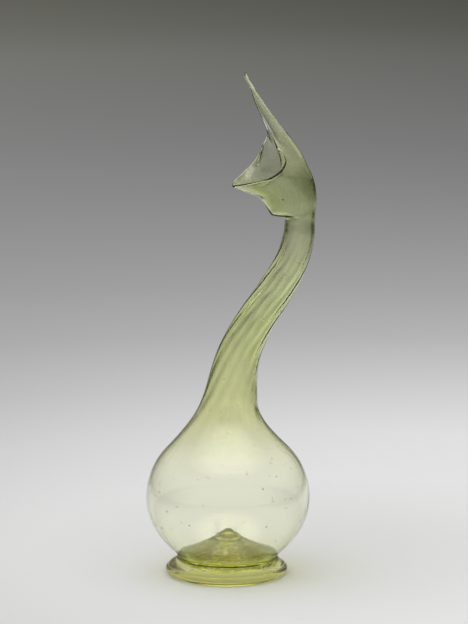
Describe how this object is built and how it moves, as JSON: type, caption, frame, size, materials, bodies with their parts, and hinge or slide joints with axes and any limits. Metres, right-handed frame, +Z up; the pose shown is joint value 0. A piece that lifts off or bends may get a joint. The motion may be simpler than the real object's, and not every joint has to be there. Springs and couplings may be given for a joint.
{
  "type": "swan-neck bottle",
  "caption": "Pale green glass sprinkler bottle with a round body on a coil foot, a leaning curved neck and a flared mouth drawn up into a folded tip.",
  "frame": {"origin": "on the table, under the middle of the bottle's outline", "axes": "+Z up; the neck leans in the XZ plane and the mouth opens towards -X; +Y is across the bottle"},
  "size_m": [0.122, 0.1126, 0.3462],
  "materials": {
    "body_glass": "clear pale yellow-green blown glass with fine seeds, fire polished",
    "foot_glass": "thick yellow-green glass thread, hand wound, fire polished"
  },
  "bodies": {
    "root": {"bulb": "body_glass", "neck": "body_glass", "mouth": "body_glass", "foot_coil": "foot_glass", "pontil_scar": "foot_glass"}
  },
  "joints": []
}
